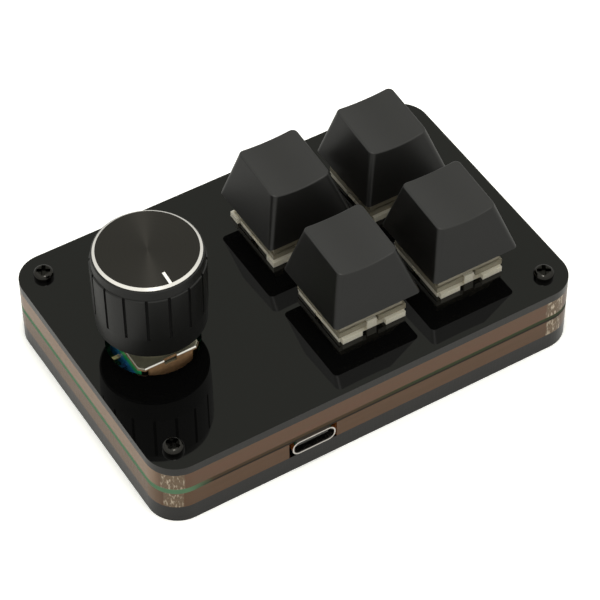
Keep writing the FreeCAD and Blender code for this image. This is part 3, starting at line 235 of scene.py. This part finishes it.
def green_board(middle):
    """Glass-fibre board under green solder mask, with a sawn edge that is dull and darker."""
    material, tree, shader, coords = new_material("green_board", IOR=1.4)
    face = level_share(tree)
    mottle = grain(tree, coords, 1.2 * MM)
    mask = {0: mottle, 6: linear("#0d4a30"), 7: linear("#14583a")}
    mask = add(tree, "ShaderNodeMix", mask, 2, data_type="RGBA")
    x = add(tree, "ShaderNodeSeparateXYZ", {0: coords})
    z = add(tree, "ShaderNodeSeparateXYZ", {0: coords}, 2)
    # Glass fibre shows brown on the sawn edge, with a dim painted green reflection at the keys' end, and
    # its lowest part is dark
    keys_end = add(tree, "ShaderNodeMapRange", {"Value": x, "From Min": -5 * MM, "From Max": 8 * MM})
    fibre = {0: keys_end, 6: linear("#43331f"), 7: linear("#2f381e")}
    fibre = add(tree, "ShaderNodeMix", fibre, 2, data_type="RGBA")
    foot = {"Value": z, "From Min": middle, "From Max": middle - 0.3 * MM}
    foot = add(tree, "ShaderNodeMapRange", foot)
    bare = add(tree, "ShaderNodeMix", {0: foot, 6: fibre, 7: linear("#1d150b")}, 2, data_type="RGBA")
    # Painted reflection: the edge is painted pale green at the knob's end of the case, standing for the
    # green mask's reflection
    painted_green_light = add(tree, "ShaderNodeMapRange", {"Value": x, "From Min": -34 * MM, "From Max": -39 * MM})
    green = {0: mottle, 6: linear("#4f7254"), 7: linear("#5c8262")}
    green = add(tree, "ShaderNodeMix", green, 2, data_type="RGBA")
    edge = add(tree, "ShaderNodeMix", {0: painted_green_light, 6: bare, 7: green}, 2, data_type="RGBA")
    sides = {0: face, 6: edge, 7: mask}
    tree.links.new(add(tree, "ShaderNodeMix", sides, 2, data_type="RGBA"), shader["Base Color"])
    tree.links.new(add(tree, "ShaderNodeMix", {0: face, 2: 0.75, 3: 0.35}), shader["Roughness"])
    weave = grain(tree, coords, 0.3 * MM)
    tree.links.new(add(tree, "ShaderNodeBump", {"Height": weave, "Distance": 0.01 * MM}), shader["Normal"])
    return material


def black_and_bright_screws(plate_top):
    """Glossy black heads on bright rolled threads."""
    material, tree, shader, coords = new_material("black_and_bright_screws", Metallic=1.0)
    z = add(tree, "ShaderNodeSeparateXYZ", {0: coords}, output=2)
    head = add(tree, "ShaderNodeMath", {0: z, 1: plate_top - 0.01 * MM}, operation="GREATER_THAN")
    wear = grain(tree, coords, 0.25 * MM)
    black = {0: wear, 6: linear("#2c2b29"), 7: linear("#363533")}
    black = add(tree, "ShaderNodeMix", black, 2, data_type="RGBA")
    tones = {0: head, 6: linear("#d8d4cc"), 7: black}
    tree.links.new(add(tree, "ShaderNodeMix", tones, 2, data_type="RGBA"), shader["Base Color"])
    gloss = {"Value": wear, "From Min": 0.3, "From Max": 0.7, "To Min": 0.1, "To Max": 0.18}
    tree.links.new(add(tree, "ShaderNodeMapRange", gloss), shader["Roughness"])
    turns = add(tree, "ShaderNodeMath", {0: z, 1: 2 * math.pi / THREAD_PITCH}, operation="MULTIPLY")
    thread = add(tree, "ShaderNodeMath", {0: turns}, operation="SINE")
    height = add(tree, "ShaderNodeMix", {0: head, 2: thread, 3: 0.0})
    tree.links.new(add(tree, "ShaderNodeBump", {"Height": height, "Distance": 0.1 * MM}), shader["Normal"])
    return material


def moulded(name, first, second, rough, texture, depth, **inputs):
    """A moulded plastic: two near tones, and the fine texture that the tool leaves."""
    material, tree, shader, coords = new_material(name, **inputs)
    tones = {0: grain(tree, coords, 30 * texture, 3.0), 6: linear(first), 7: linear(second)}
    tree.links.new(add(tree, "ShaderNodeMix", tones, 2, data_type="RGBA"), shader["Base Color"])
    fine = grain(tree, coords, texture, 2.0)
    gloss = {"To Min": rough - 0.05, "To Max": rough + 0.05}
    gloss = {"Value": fine, "From Min": 0.3, "From Max": 0.7, **gloss}
    tree.links.new(add(tree, "ShaderNodeMapRange", gloss), shader["Roughness"])
    tree.links.new(add(tree, "ShaderNodeBump", {"Height": fine, "Distance": depth}), shader["Normal"])
    return material


def grooved_grip(axis, foot):
    """Satin black moulding; the grooves of its grip are dull, with painted shade that makes them darker
    than the lands.
    """
    material, tree, shader, coords = new_material("satin_black_abs", IOR=1.42)
    away = add(tree, "ShaderNodeVectorMath", {0: coords, 1: axis}, operation="SUBTRACT")
    flat = add(tree, "ShaderNodeVectorMath", {0: away, 1: (1, 1, 0)}, operation="MULTIPLY")
    radius = add(tree, "ShaderNodeVectorMath", {0: flat}, "Value", operation="LENGTH")
    z = add(tree, "ShaderNodeSeparateXYZ", {0: coords}, 2)
    # The grooves run from 4.7 to 14.8 mm over the foot, and the lands lie at 10.25 mm or more
    groove_start = foot + 4.69 * MM
    groove_end = foot + 14.7 * MM
    groove_radius = 10.2 * MM
    deep = add(tree, "ShaderNodeMath", {0: radius, 1: groove_radius}, operation="LESS_THAN")
    above = add(tree, "ShaderNodeMath", {0: z, 1: groove_start}, operation="GREATER_THAN")
    below = add(tree, "ShaderNodeMath", {0: z, 1: groove_end}, operation="LESS_THAN")
    painted_groove_shade = add(tree, "ShaderNodeMath", {0: deep, 1: above}, operation="MULTIPLY")
    painted_groove_shade = add(tree, "ShaderNodeMath", {0: painted_groove_shade, 1: below}, operation="MULTIPLY")
    fine = grain(tree, coords, 0.2 * MM)
    # Painted shade: the grooves are painted near black where shade falls in them
    tones = {0: painted_groove_shade, 6: linear("#0c0c0b"), 7: linear("#030303")}
    tree.links.new(add(tree, "ShaderNodeMix", tones, 2, data_type="RGBA"), shader["Base Color"])
    gloss = {"Value": fine, "From Min": 0.3, "From Max": 0.7, "To Min": 0.32, "To Max": 0.42}
    gloss = add(tree, "ShaderNodeMapRange", gloss)
    tree.links.new(add(tree, "ShaderNodeMix", {0: painted_groove_shade, 2: gloss, 3: 0.95}), shader["Roughness"])
    tree.links.new(add(tree, "ShaderNodeBump", {"Height": fine, "Distance": 0.003 * MM}), shader["Normal"])
    return material


def stamped_metal(name, first, second, rough, spacing=0.15 * MM):
    """A machined or stamped metal: two near tones and fine marks a real distance apart."""
    material, tree, shader, coords = new_material(name, Metallic=1.0)
    marks = grain(tree, coords, spacing, 3.0, (1, 1, 4))
    tones = {0: marks, 6: linear(first), 7: linear(second)}
    tree.links.new(add(tree, "ShaderNodeMix", tones, 2, data_type="RGBA"), shader["Base Color"])
    gloss = {"To Min": rough - 0.06, "To Max": rough + 0.06}
    gloss = {"Value": marks, "From Min": 0.3, "From Max": 0.7, **gloss}
    tree.links.new(add(tree, "ShaderNodeMapRange", gloss), shader["Roughness"])
    tree.links.new(add(tree, "ShaderNodeBump", {"Height": marks, "Distance": 0.004 * MM}), shader["Normal"])
    return material


def passivated_cover():
    """Passivated steel sheet: dull olive roof; walls painted brown, a painted reflection; and bends painted
    bright, a painted highlight.
    """
    material, tree, shader, coords = new_material("passivated_cover")
    normal = add(tree, "ShaderNodeTexCoord", output="Normal")
    z = add(tree, "ShaderNodeSeparateXYZ", {0: normal}, 2)
    x = add(tree, "ShaderNodeSeparateXYZ", {0: normal})
    # The two aprons are bent down at the front and the back; the roof's other edges are only sheared
    sheared = add(tree, "ShaderNodeMath", {0: x}, operation="ABSOLUTE")
    sheared = add(tree, "ShaderNodeMapRange", {"Value": sheared, "From Min": 0.05, "From Max": 0.15})
    # Painted highlight: the bent edges of the aprons are painted near white
    painted_bend_highlight = {0: sheared, 6: linear("#fbf8f0"), 7: linear("#8d897c")}
    painted_bend_highlight = add(tree, "ShaderNodeMix", painted_bend_highlight, 2, data_type="RGBA")
    tilt = add(tree, "ShaderNodeMath", {0: z}, operation="ABSOLUTE")
    risen = add(tree, "ShaderNodeMapRange", {"Value": tilt, "From Min": 0.08, "From Max": 0.16})
    roof = add(tree, "ShaderNodeMapRange", {"Value": tilt, "From Min": 0.94, "From Max": 0.99})
    spots = grain(tree, coords, 0.9 * MM, 4.0)
    # Painted reflection: the walls are painted brown and less metallic than the roof
    wall = {0: spots, 6: linear("#806047"), 7: linear("#c0986f")}
    wall = add(tree, "ShaderNodeMix", wall, 2, data_type="RGBA")
    top = {0: spots, 6: linear("#b9b59b"), 7: linear("#d8d4ba")}
    top = add(tree, "ShaderNodeMix", top, 2, data_type="RGBA")
    bend = add(tree, "ShaderNodeMix", {0: roof, 6: painted_bend_highlight, 7: top}, 2, data_type="RGBA")
    tones = {0: risen, 6: wall, 7: bend}
    tree.links.new(add(tree, "ShaderNodeMix", tones, 2, data_type="RGBA"), shader["Base Color"])
    tree.links.new(add(tree, "ShaderNodeMix", {0: risen, 2: 0.15, 3: 0.85}), shader["Metallic"])
    tree.links.new(add(tree, "ShaderNodeMix", {0: risen, 2: 0.4, 3: 0.3}), shader["Roughness"])
    tree.links.new(add(tree, "ShaderNodeBump", {"Height": spots, "Distance": 0.01 * MM}), shader["Normal"])
    return material


def housing_painted_shade_and_reflection(top):
    """Encoder moulding: green on its two sides, with a painted blue reflection below, and painted shade on
    its front and back.
    """
    material, tree, shader, coords = new_material("housing_painted_shade_and_reflection", IOR=1.5, Roughness=0.3)
    z = add(tree, "ShaderNodeSeparateXYZ", {0: coords}, 2)
    blur = grain(tree, coords, 1.0 * MM)
    low = add(tree, "ShaderNodeMath", {0: blur, 1: 0.8 * MM}, operation="MULTIPLY")
    low = add(tree, "ShaderNodeMath", {0: z, 1: low}, operation="ADD")
    # Painted reflection: the lower part of each side is painted blue
    blue = {"Value": low, "From Min": top - 2.0 * MM, "From Max": top - 2.6 * MM}
    blue = add(tree, "ShaderNodeMapRange", blue)
    tones = {0: blue, 6: linear("#2cbf70"), 7: linear("#3698dc")}
    sides = add(tree, "ShaderNodeMix", tones, 2, data_type="RGBA")
    normal = add(tree, "ShaderNodeTexCoord", output="Normal")
    # Painted shade: the front and back faces are painted near black
    painted_end_shade = add(tree, "ShaderNodeSeparateXYZ", {0: normal}, 1)
    painted_end_shade = add(tree, "ShaderNodeMath", {0: painted_end_shade}, operation="ABSOLUTE")
    painted_end_shade = add(tree, "ShaderNodeMapRange", {"Value": painted_end_shade, "From Min": 0.5, "From Max": 0.6})
    whole = {0: painted_end_shade, 6: sides, 7: linear("#12110f")}
    tree.links.new(add(tree, "ShaderNodeMix", whole, 2, data_type="RGBA"), shader["Base Color"])
    tree.links.new(add(tree, "ShaderNodeBump", {"Height": blur, "Distance": 0.01 * MM}), shader["Normal"])
    return material


def part_gilt_pins(axis):
    """Tinned pins gone blue-grey, with gold left on those at the back."""
    material, tree, shader, coords = new_material("part_gilt_pins", Metallic=1.0, Roughness=0.3)
    y = add(tree, "ShaderNodeSeparateXYZ", {0: coords}, 1)
    back = add(tree, "ShaderNodeMath", {0: y, 1: axis.y + 1.5 * MM}, operation="GREATER_THAN")
    tones = {0: back, 6: linear("#27466e"), 7: linear("#f2d3a0")}
    tree.links.new(add(tree, "ShaderNodeMix", tones, 2, data_type="RGBA"), shader["Base Color"])
    marks = grain(tree, coords, 0.2 * MM)
    tree.links.new(add(tree, "ShaderNodeBump", {"Height": marks, "Distance": 0.004 * MM}), shader["Normal"])
    return material


def spun_aluminium(centre, face_radius):
    """Anodised aluminium disc: rings from the lathe on a black face, and a bright cut chamfer."""
    material, tree, shader, coords = new_material("spun_aluminium", Metallic=1.0, Anisotropic=0.85)
    away = add(tree, "ShaderNodeVectorMath", {0: coords, 1: centre}, operation="SUBTRACT")
    flat = add(tree, "ShaderNodeVectorMath", {0: away, 1: (1, 1, 0)}, operation="MULTIPLY")
    radius = add(tree, "ShaderNodeVectorMath", {0: flat}, "Value", operation="LENGTH")
    chamfer = add(tree, "ShaderNodeMath", {0: radius, 1: face_radius}, operation="GREATER_THAN")
    # The rings are 0.12 mm apart, coarser than real ones so that they show
    rings = add(tree, "ShaderNodeTexNoise", {"W": radius, "Scale": 1 / (0.12 * MM)}, noise_dimensions="1D")
    black = {0: rings, 6: linear("#302f2c"), 7: linear("#3c3a37")}
    black = add(tree, "ShaderNodeMix", black, 2, data_type="RGBA")
    tones = {0: chamfer, 6: black, 7: linear("#e6e3df")}
    tree.links.new(add(tree, "ShaderNodeMix", tones, 2, data_type="RGBA"), shader["Base Color"])
    tree.links.new(add(tree, "ShaderNodeMix", {0: chamfer, 2: 0.38, 3: 0.2}), shader["Roughness"])
    # A highlight on turned rings is drawn out along the radius
    turned = {"vector_type": "VECTOR", "convert_from": "OBJECT", "convert_to": "WORLD"}
    tree.links.new(add(tree, "ShaderNodeVectorTransform", {0: flat}, **turned), shader["Tangent"])
    tree.links.new(add(tree, "ShaderNodeBump", {"Height": rings, "Distance": 0.002 * MM}), shader["Normal"])
    return material


# What each node is made of

knob_low, knob_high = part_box("knob_disc")
knob_axis = (knob_low + knob_high) / 2
plate_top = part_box("top_plate")[1].z
board_low, board_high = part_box("circuit_board")
screw_low, screw_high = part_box("case_screws")
# A screw's middle lies half a head inside the group's corner, and its base at the group's foot
screw_place = screw_high - Vector((SCREW_HEAD_RADIUS, SCREW_HEAD_RADIUS, 0))
screw_place.z = screw_low.z
socket_low, socket_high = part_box("usb_socket_shell")
slot_middle = (socket_low.x + socket_high.x) / 2

acrylic_black = polished_black_acrylic()
# Each wall's third colour is a painted light at the knob's end
lower_acrylic = laser_cut_acrylic(
    "lower_masked_acrylic", "#51361a", "#5e4027", "#6a4f35", 1.18 * MM, screw_place, slot_middle
)
upper_acrylic = laser_cut_acrylic(
    "upper_masked_acrylic", "#653f2a", "#5a442b", "#8c7058", 1.42 * MM, screw_place
)
keycap_abs = moulded("textured_black_abs", "#0a0a09", "#100f0e", 0.36, 0.12 * MM, 0.006 * MM, IOR=1.5)
# Unpigmented nylon, milky: light that enters it comes out again nearby
switch_nylon = moulded(
    "milky_nylon",
    "#d2ccbb",
    "#e2dccd",
    0.25,
    0.3 * MM,
    0.01 * MM,
    IOR=1.53,
    Subsurface_Weight=0.4,
    Subsurface_Radius=(1.0, 0.95, 0.85),
    Subsurface_Scale=1.0 * MM,
)
# Clear polycarbonate with a smoky tinge, so that the dark inside of the switch shows through
switch_clear = moulded(
    "smoky_polycarbonate",
    "#a39b85",
    "#c2baa4",
    0.14,
    0.4 * MM,
    0.02 * MM,
    IOR=1.58,
    Transmission_Weight=0.5,
)
stem_pom = moulded("stem_moulding", "#3b2a20", "#45332a", 0.3, 0.2 * MM, 0.003 * MM, IOR=1.48)
black_insert = moulded("black_socket_moulding", "#0c0c0b", "#151413", 0.35, 0.15 * MM, 0.004 * MM, IOR=1.55)
pale_moulding = moulded("pale_moulding", "#b8b09c", "#c6bfae", 0.4, 0.2 * MM, 0.003 * MM, IOR=1.5)
pointer_paint = moulded("white_fill", "#f1efe9", "#fbfaf6", 0.5, 0.1 * MM, 0.004 * MM, IOR=1.5)
ceramic = moulded("ceramic_parts", "#6b5a43", "#8a765a", 0.45, 0.2 * MM, 0.005 * MM, IOR=1.6)
steel_spring = stamped_metal("spring_steel", "#b7b4ae", "#cfccc6", 0.25)
contact_brass = stamped_metal("contact_brass", "#b08d4e", "#caa765", 0.3)
zinc_cast = stamped_metal("zinc_casting", "#9c9890", "#b8b4ac", 0.3)
bright_shaft = stamped_metal("turned_aluminium", "#c9c6c0", "#dedbd6", 0.25)
nickel_shell = stamped_metal("nickel_plate", "#ece6e0", "#fbf6f1", 0.14, 0.4 * MM)

NODE_MATERIALS = {
    "bottom_plate": acrylic_black,
    "top_plate": acrylic_black,
    "lower_spacer": lower_acrylic,
    "upper_spacer": upper_acrylic,
    "circuit_board": green_board((board_low.z + board_high.z) / 2),
    "case_screws": black_and_bright_screws(plate_top),
    "case_nuts": zinc_cast,
    "encoder_housing": housing_painted_shade_and_reflection(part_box("encoder_housing")[1].z),
    "encoder_bracket": passivated_cover(),
    "encoder_bushing": zinc_cast,
    "encoder_shaft": bright_shaft,
    "encoder_rotor": pale_moulding,
    "encoder_plunger": pale_moulding,
    "encoder_dome": steel_spring,
    "encoder_pins": part_gilt_pins(knob_axis),
    "knob_body": grooved_grip(knob_axis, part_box("knob_body")[0].z),
    "knob_disc": spun_aluminium(knob_axis, DISC_FACE_RADIUS),
    "knob_pointer": pointer_paint,
    "usb_socket_shell": nickel_shell,
    "usb_socket_insert": black_insert,
    "controller_chip": black_insert,
    "board_small_parts": ceramic,
}
for key in KEYS:
    NODE_MATERIALS["keycap_" + key] = keycap_abs
    NODE_MATERIALS["switch_base_" + key] = switch_nylon
    NODE_MATERIALS["switch_top_" + key] = switch_clear
    NODE_MATERIALS["switch_stem_" + key] = stem_pom
    NODE_MATERIALS["switch_spring_" + key] = steel_spring
    NODE_MATERIALS["switch_contacts_" + key] = contact_brass

for name, material in NODE_MATERIALS.items():
    cad_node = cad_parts[name]
    cad_node.data.materials.clear()
    cad_node.data.materials.append(material)


# Key springs: a wound coil for each key, standing on its foot in place of the switch's own spring


def wound_wire():
    """Geometry Nodes for a coil: a round section swept along a spiral that rises from the origin."""
    tree = bpy.data.node_groups.new("wound_wire", "GeometryNodeTree")
    for name in ("Turns", "Radius", "Height", "Wire Radius"):
        tree.interface.new_socket(name, in_out="INPUT", socket_type="NodeSocketFloat")
    tree.interface.new_socket("Metal", in_out="INPUT", socket_type="NodeSocketMaterial")
    tree.interface.new_socket("Geometry", in_out="OUTPUT", socket_type="NodeSocketGeometry")
    given = tree.nodes.new("NodeGroupInput").outputs
    steps_in_a_turn = 36
    sides_of_the_wire = 10
    radius = given["Radius"]
    spiral = {"Resolution": steps_in_a_turn, "Rotations": given["Turns"], "Height": given["Height"]}
    spiral = {"Start Radius": radius, "End Radius": radius, **spiral}
    spiral = add(tree, "GeometryNodeCurveSpiral", spiral)
    section = {"Resolution": sides_of_the_wire, "Radius": given["Wire Radius"]}
    section = add(tree, "GeometryNodeCurvePrimitiveCircle", section)
    swept = {"Curve": spiral, "Profile Curve": section, "Fill Caps": True}
    swept = add(tree, "GeometryNodeCurveToMesh", swept)
    whole = add(tree, "GeometryNodeRealizeInstances", {"Geometry": swept})
    finished = add(tree, "GeometryNodeSetMaterial", {"Geometry": whole, "Material": given["Metal"]})
    add(tree, "NodeGroupOutput", {"Geometry": finished})
    return tree


def coil(name, tree, foot, values):
    """One coil that stands on its foot, as a plain mesh whose object is at the origin."""
    start = bpy.data.objects.new(name + "_start", bpy.data.meshes.new(name + "_start"))
    bpy.context.scene.collection.objects.link(start)
    modifier = start.modifiers.new("wound_wire", "NODES")
    modifier.node_group = tree
    for socket in tree.interface.items_tree:
        if socket.name in values:
            modifier[socket.identifier] = values[socket.name]
    graph = bpy.context.evaluated_depsgraph_get()
    mesh = bpy.data.meshes.new_from_object(start.evaluated_get(graph), depsgraph=graph)
    bpy.data.objects.remove(start)
    mesh.transform(Matrix.Translation(foot + Vector((0, 0, values["Wire Radius"]))))
    made = bpy.data.objects.new(name, mesh)
    bpy.context.scene.collection.objects.link(made)
    return made


winding = wound_wire()
for key in KEYS:
    low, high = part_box("switch_spring_" + key)
    rise = high.z - low.z
    foot = Vector(((low.x + high.x) / 2, (low.y + high.y) / 2, low.z))
    wire = {"Turns": SPRING_TURNS, "Wire Radius": SPRING_WIRE_RADIUS, "Metal": steel_spring}
    # The box holds the wire's own thickness, and the spiral is the wire's middle
    wire["Radius"] = (high.x - low.x) / 2 - SPRING_WIRE_RADIUS
    wire["Height"] = rise - 2 * SPRING_WIRE_RADIUS
    spring = coil("key_spring_" + key, winding, foot, wire)
    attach(spring, "case")
    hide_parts("switch_spring_" + key)
    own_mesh(spring)


# Stage


def lamp(name, place, size, power, colour):
    """A soft square lamp that faces the middle of the object."""
    data = bpy.data.lights.new(name, "AREA")
    data.size = size
    data.energy = power
    data.color = linear(colour)[:3]
    made = bpy.data.objects.new(name, data)
    bpy.context.scene.collection.objects.link(made)
    aim = Vector((0, 0, 0.015)) - Vector(place)
    made.matrix_world = Matrix.Translation(place) @ aim.to_track_quat("-Z", "Y").to_matrix().to_4x4()


def pale_floor():
    """A plain pale floor that goes over to white where the camera sees it."""
    reach = 4.0
    drop = 0.05 * MM
    mesh = bpy.data.meshes.new("floor")
    corners = [(-reach, -reach), (reach, -reach), (reach, reach), (-reach, reach)]
    mesh.from_pydata([(x, y, -drop) for x, y in corners], [], [(0, 1, 2, 3)])
    floor = bpy.data.objects.new("floor", mesh)
    bpy.context.scene.collection.objects.link(floor)
    material, tree, shader, _ = new_material("pale_floor", Roughness=0.9, Specular_IOR_Level=0.0)
    tone = (0.6, 0.6, 0.6, 1.0)
    for kind, white in (("Is Glossy Ray", 0.62), ("Is Transmission Ray", 1.0), ("Is Camera Ray", 1.35)):
        seen = add(tree, "ShaderNodeLightPath", output=kind)
        tones = {0: seen, 6: tone, 7: (white, white, white, 1.0)}
        tone = add(tree, "ShaderNodeMix", tones, 2, data_type="RGBA")
    tree.links.new(tone, shader["Base Color"])
    mesh.materials.append(material)


def studio_world():
    """White light from all round, a little stronger overhead, with one dimmer patch behind the keys."""
    world = bpy.data.worlds.new("studio")
    bpy.context.scene.world = world
    world.use_nodes = True
    tree = world.node_tree
    tree.nodes.clear()
    way = add(tree, "ShaderNodeTexCoord", output="Generated")
    high = add(tree, "ShaderNodeSeparateXYZ", {0: way}, 2)
    overhead = add(tree, "ShaderNodeMapRange", {"Value": high, "From Min": 0.5, "From Max": 0.7})
    even = {0: overhead, 6: (0.88, 0.88, 0.83, 1.0), 7: (1.12, 1.12, 1.05, 1.0)}
    even = add(tree, "ShaderNodeMix", even, 2, data_type="RGBA")
    to_patch = {0: way, 1: (0.35, 0.59, 0.727)}
    near = add(tree, "ShaderNodeVectorMath", to_patch, "Value", operation="DOT_PRODUCT")
    patch = add(tree, "ShaderNodeMapRange", {"Value": near, "From Min": 0.984, "From Max": 0.992})
    colour = add(tree, "ShaderNodeMix", {0: patch, 6: even, 7: (0.45, 0.46, 0.4, 1.0)}, 2, data_type="RGBA")
    light = add(tree, "ShaderNodeBackground", {"Color": colour, "Strength": 1.0})
    add(tree, "ShaderNodeOutputWorld", {"Surface": light})


def photo_camera():
    """The camera at the photograph's place, turned and zoomed as there."""
    place = Vector((-173.53, -288.79, 379.19)) * MM
    # It looks down, and from +Y towards +X, with a slight lean to one side
    downward = math.radians(47.7988)
    sideways = math.radians(31.1975)
    lean = math.radians(-0.3308)
    data = bpy.data.cameras.new("camera")
    data.sensor_width = 36.0
    data.lens = 162.54
    data.clip_start = 0.01
    data.clip_end = 20.0
    camera = bpy.data.objects.new("camera", data)
    bpy.context.scene.collection.objects.link(camera)
    turn = Matrix.Rotation(-sideways, 4, "Z") @ Matrix.Rotation(math.pi / 2 - downward, 4, "X")
    camera.matrix_world = Matrix.Translation(place) @ turn @ Matrix.Rotation(lean, 4, "Z")
    bpy.context.scene.camera = camera


pale_floor()
studio_world()
photo_camera()
lamp("top_lamp", place=(-0.02, -0.065, 0.66), size=0.1, power=0.8, colour="#fffdf8")
bpy.context.scene.view_settings.view_transform = "Standard"

bpy.context.view_layer.update()
